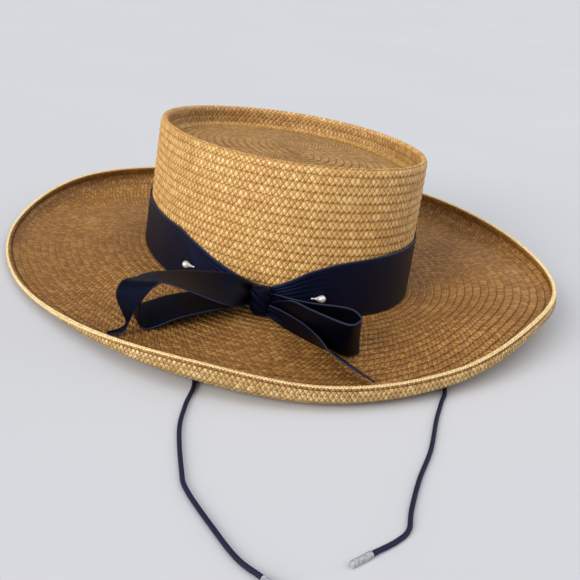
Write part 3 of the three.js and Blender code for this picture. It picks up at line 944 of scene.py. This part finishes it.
def makeBowPiece(name, node, rows, pinched):
    edges = np.array(rows, float)
    if "start" in pinched:
        edges = np.concatenate([intoKnot(edges, 0)[None], edges])
    if "end" in pinched:
        edges = np.concatenate([edges, intoKnot(edges, -1)[None]])
    near = smoothThrough(edges[:, 0], 12)
    far = smoothThrough(edges[:, 1], 12)
    both = evenly(np.hstack([near, far]), bow["columns"] + 1)
    near, far = both[:, :3], both[:, 3:]
    middle = (near + far) / 2
    lengths = np.concatenate([[0], np.cumsum(np.linalg.norm(np.diff(middle, axis=0), axis=1))])
    ahead = np.gradient(middle, axis=0)
    normal = np.cross(ahead, far - near)
    normal /= np.linalg.norm(normal, axis=1, keepdims=True)
    fromStart = lengths if "start" in pinched else np.full(lengths.shape, 999.0)
    fromEnd = lengths[-1] - lengths if "end" in pinched else np.full(lengths.shape, 999.0)
    pleat = bow["pleatDepth"] * (
        np.exp(-((fromStart / bow["pleatReach"]) ** 2)) + np.exp(-((fromEnd / bow["pleatReach"]) ** 2))
    )

    def place(s, w):
        column = np.round(s * bow["columns"]).astype(int)
        flat = near[column] * (1 - w)[:, None] + far[column] * w[:, None]
        lift = pleat[column] * np.sin(2 * np.pi * (w * 1.7 + 0.1))
        wave = bow["cup"] * np.sin(s * 9.0 + w * 1.3) * (1 - (2 * w - 1) ** 2)
        return (flat + normal[column] * (lift + wave)[:, None]) * mm

    piece = gridPiece(name, bow["columns"], bow["rows"], place, (lengths[-1], 1))
    modify(piece, "SOLIDIFY", thickness=bow["thickness"] * mm, offset=0)
    finishPiece(piece, navyRibbon, "ribbon", node)


makeBowPiece("right_loop_cloth", "bow_loop_right", loopRight, ("start", "end"))
makeBowPiece("left_loop_cloth", "bow_loop_left", loopLeft, ("start", "end"))
makeBowPiece("right_tail_cloth", "bow_tail_right", tailRight, ("start",))
makeBowPiece("left_tail_cloth", "bow_tail_left", tailLeft, ("start",))

# Knot: the ribbon wound once round, with slanting folds

knot = {"turn": -35.6, "round": 2.7, "foldDepth": 0.85, "foldPitch": 5.4, "shear": 0.16}
knotSections = {
    "up": (9.1, 9.8, 11, 15, 20, 24.5, 26.4, 27.2),
    "half": (2.2, 4.6, 6.1, 6.8, 6.8, 6.2, 4.8, 2.4),
    "depth": (1.6, 3.6, 4.7, 5.4, 5.4, 4.8, 3.6, 1.8),
}


def makeKnot():
    turn = math.radians(knot["turn"])
    steps = 64
    rows = np.array([knotSections[key] for key in ("up", "half", "depth")], float).T
    line = smoothThrough(rows, 8)
    line = np.vstack([[line[0, 0], 0.02, 0.02], line, [line[-1, 0], 0.02, 0.02]])

    def place(s, w):
        up, half, depth = line[np.round(w * (len(line) - 1)).astype(int)].T
        angle = s * 2 * np.pi
        radius = ovalRadius(angle, half, depth, knot["round"])
        slant = (up + radius * np.cos(angle) * 0.75) / knot["foldPitch"]
        crease = 1 - np.abs(np.sin(np.pi * slant)) ** 0.6
        body = np.clip(half / 4, 0, 1)
        radius = radius - knot["foldDepth"] * crease * body
        along = radius * np.cos(angle) - (up - 18) * knot["shear"]
        off = radius * np.sin(angle)
        x = knotCentre[0] + along * math.cos(turn) - off * math.sin(turn)
        y = knotCentre[1] + along * math.sin(turn) + off * math.cos(turn)
        return np.stack([x, y, up], axis=1) * mm

    piece = gridPiece("knot_cloth", steps, len(line) - 1, place, (40, 1))
    weld(piece)
    finishPiece(piece, navyRibbon, "ribbon", "bow_knot")


makeKnot()
print("ribbon ready")

# Pins with tear-shaped pearly beads

pin = {"beadLength": 6.8, "beadWidth": 4.4, "shaft": 0.9}
pins = [
    {"node": "pin_left", "head": (212.4, 14), "point": (215.4, 13.8)},
    {"node": "pin_right", "head": (261.5, 13), "point": (258.7, 12.2)},
]


def makePin(row):
    outside = band["gap"] + 1 + 0.3
    head = crownPlace(math.radians(row["head"][0]), -outside - pin["beadWidth"] / 2, row["head"][1])
    point = crownPlace(math.radians(row["point"][0]), -outside - pin["shaft"] / 2, row["point"][1])
    ahead = (point - head) / np.linalg.norm(point - head)
    sideways = np.cross(ahead, (0, 0, 1))
    sideways /= np.linalg.norm(sideways)
    lift = np.cross(sideways, ahead)
    reach = np.linalg.norm(point - head) / mm
    half, end, shaft = pin["beadWidth"] / 2, pin["beadLength"] / 2, pin["shaft"] / 2
    middle = half - end
    turns = np.radians([0, 15, 40, 65, 90])
    profile = [(middle - half * math.cos(turn), half * math.sin(turn)) for turn in turns]
    profile += [(middle + 1.5, half * 0.84), (middle + 3, half * 0.5), (end, shaft)]
    profile += [(end + 0.3, shaft), (reach - 0.5, shaft), (reach, 0)]
    line = smoothThrough(profile, 5)
    line[:, 1] = np.maximum(line[:, 1], 0.0005)

    def place(s, w):
        out, radius = line[np.round(s * (len(line) - 1)).astype(int)].T * mm
        turn = w * 2 * np.pi
        ring = np.cos(turn)[:, None] * sideways + np.sin(turn)[:, None] * lift
        return head + out[:, None] * ahead + radius[:, None] * ring

    piece = gridPiece(row["node"] + "_bead", len(line) - 1, 24, place)
    weld(piece, 0.001 * mm)
    finishPiece(piece, pearl, "pearl", row["node"])


for row in pins:
    makePin(row)
print("pins ready")

# Chin cord in two free ends, its sleeves and the tabs it is sewn to

cord = {"diameter": 2.2, "cellLength": 1.5, "aroundCells": 4}
# The sleeve's profile is distance along it and share of its radius
aglet = {
    "diameter": 3,
    "gap": 0.3,
    "profile": (
        (0, 0), (0, 0.75), (0.25, 1), (1, 1), (5.5, 0.97), (10, 1), (10.7, 0.98), (11, 0.8), (11, 0),
    ),
}
tab = {"width": 12, "thickness": 2.4, "length": 8, "foot": 3, "gap": 0.4}
cords = [
    {
        "side": "left",
        "tabAngle": math.pi,
        "route": (
            (-82.3, 0, 11.8), (-82.2, -0.6, 6), (-82, -3, 2.6), (-81.9, -8, 1.4), (-84, -40, 1.2),
            (-92, -90, 1.2), (-102, -135, 1.2), (-107, -155, 1.2), (-117, -173, 1.2), (-126, -193, 1.2),
            (-134, -223, 1.2), (-136, -237, 1.2), (-133, -264, 1.2), (-130, -281, 1.2), (-125, -292.5, 1.5),
        ),
    },
    {
        "side": "right",
        "tabAngle": 0,
        "route": (
            (82.5, 0, 6.1), (82.3, -0.6, 3.4), (80.4, -5, 1.25), (76, -16, 1.2), (66, -42, 1.2),
            (52, -84, 1.2), (40, -130, 1.2), (31, -165, 1.2), (23, -186, 1.2), (13, -198, 1.2),
            (1, -212, 1.2), (-17, -235, 1.2), (-35, -254, 1.2), (-50, -272, 1.2), (-58, -283, 1.2),
            (-67, -288, 1.3), (-79.5, -291.8, 1.5),
        ),
    },
]


def makeAglet(side, end, heading):
    ahead = np.array([heading[0], heading[1], 0])
    ahead /= np.linalg.norm(ahead)
    start = np.array([end[0], end[1], aglet["diameter"] / 2]) + ahead * aglet["gap"]
    radius = aglet["diameter"] / 2
    profile = np.array(aglet["profile"])
    sideways = np.cross(ahead, (0, 0, 1))

    def place(s, w):
        out, share = profile[np.round(s * (len(profile) - 1)).astype(int)].T
        turn = (w * 2 * np.pi)[:, None]
        ring = np.cos(turn) * sideways + np.sin(turn) * np.array([0, 0, 1])
        return (start + out[:, None] * ahead + np.maximum(share, 0.0005)[:, None] * radius * ring) * mm

    piece = gridPiece("aglet_sleeve_" + side, len(profile) - 1, 24, place)
    weld(piece, 0.001 * mm)
    return finishPiece(piece, clearSleeve, "aglet", "aglet_" + side)


def makeCord(row):
    line = smoothThrough(row["route"], 12)
    length = np.linalg.norm(np.diff(line, axis=0), axis=1).sum()
    line = evenly(line, int(length / 0.75)) * mm
    uvScale = (length / cord["cellLength"], cord["aroundCells"])
    piece = tubePiece("chin_cord_" + row["side"], line, cord["diameter"] / 2 * mm, 16, uvScale)
    finishPiece(piece, navyCord, "cord", "cord_" + row["side"])
    before, end = row["route"][-2:]
    sleeve = makeAglet(row["side"], end, np.subtract(end, before))
    print("cord", row["side"], round(length), "mm")


def makeTab(row):
    inset = 2 + tab["gap"] + tab["thickness"] / 2
    middle = crownPlace(np.array(row["tabAngle"]), inset, tab["foot"] + tab["length"] / 2)
    bpy.ops.object.select_all(action="DESELECT")
    bpy.ops.mesh.primitive_cube_add(size=1)
    piece = bpy.context.object
    piece.name = "cord_tape_" + row["side"]
    size = Vector((tab["thickness"], tab["width"], tab["length"])) * mm
    piece.data.transform(
        Matrix.Translation(middle) @ Matrix.Rotation(crown["lean"], 4, "Y") @ Matrix.Diagonal((*size, 1))
    )
    modify(piece, "BEVEL", width=0.6 * mm, segments=3)
    finishPiece(piece, navyTape, "cord", "cord_tab_" + row["side"])


for row in cords:
    makeCord(row)
    makeTab(row)
print("cords ready")
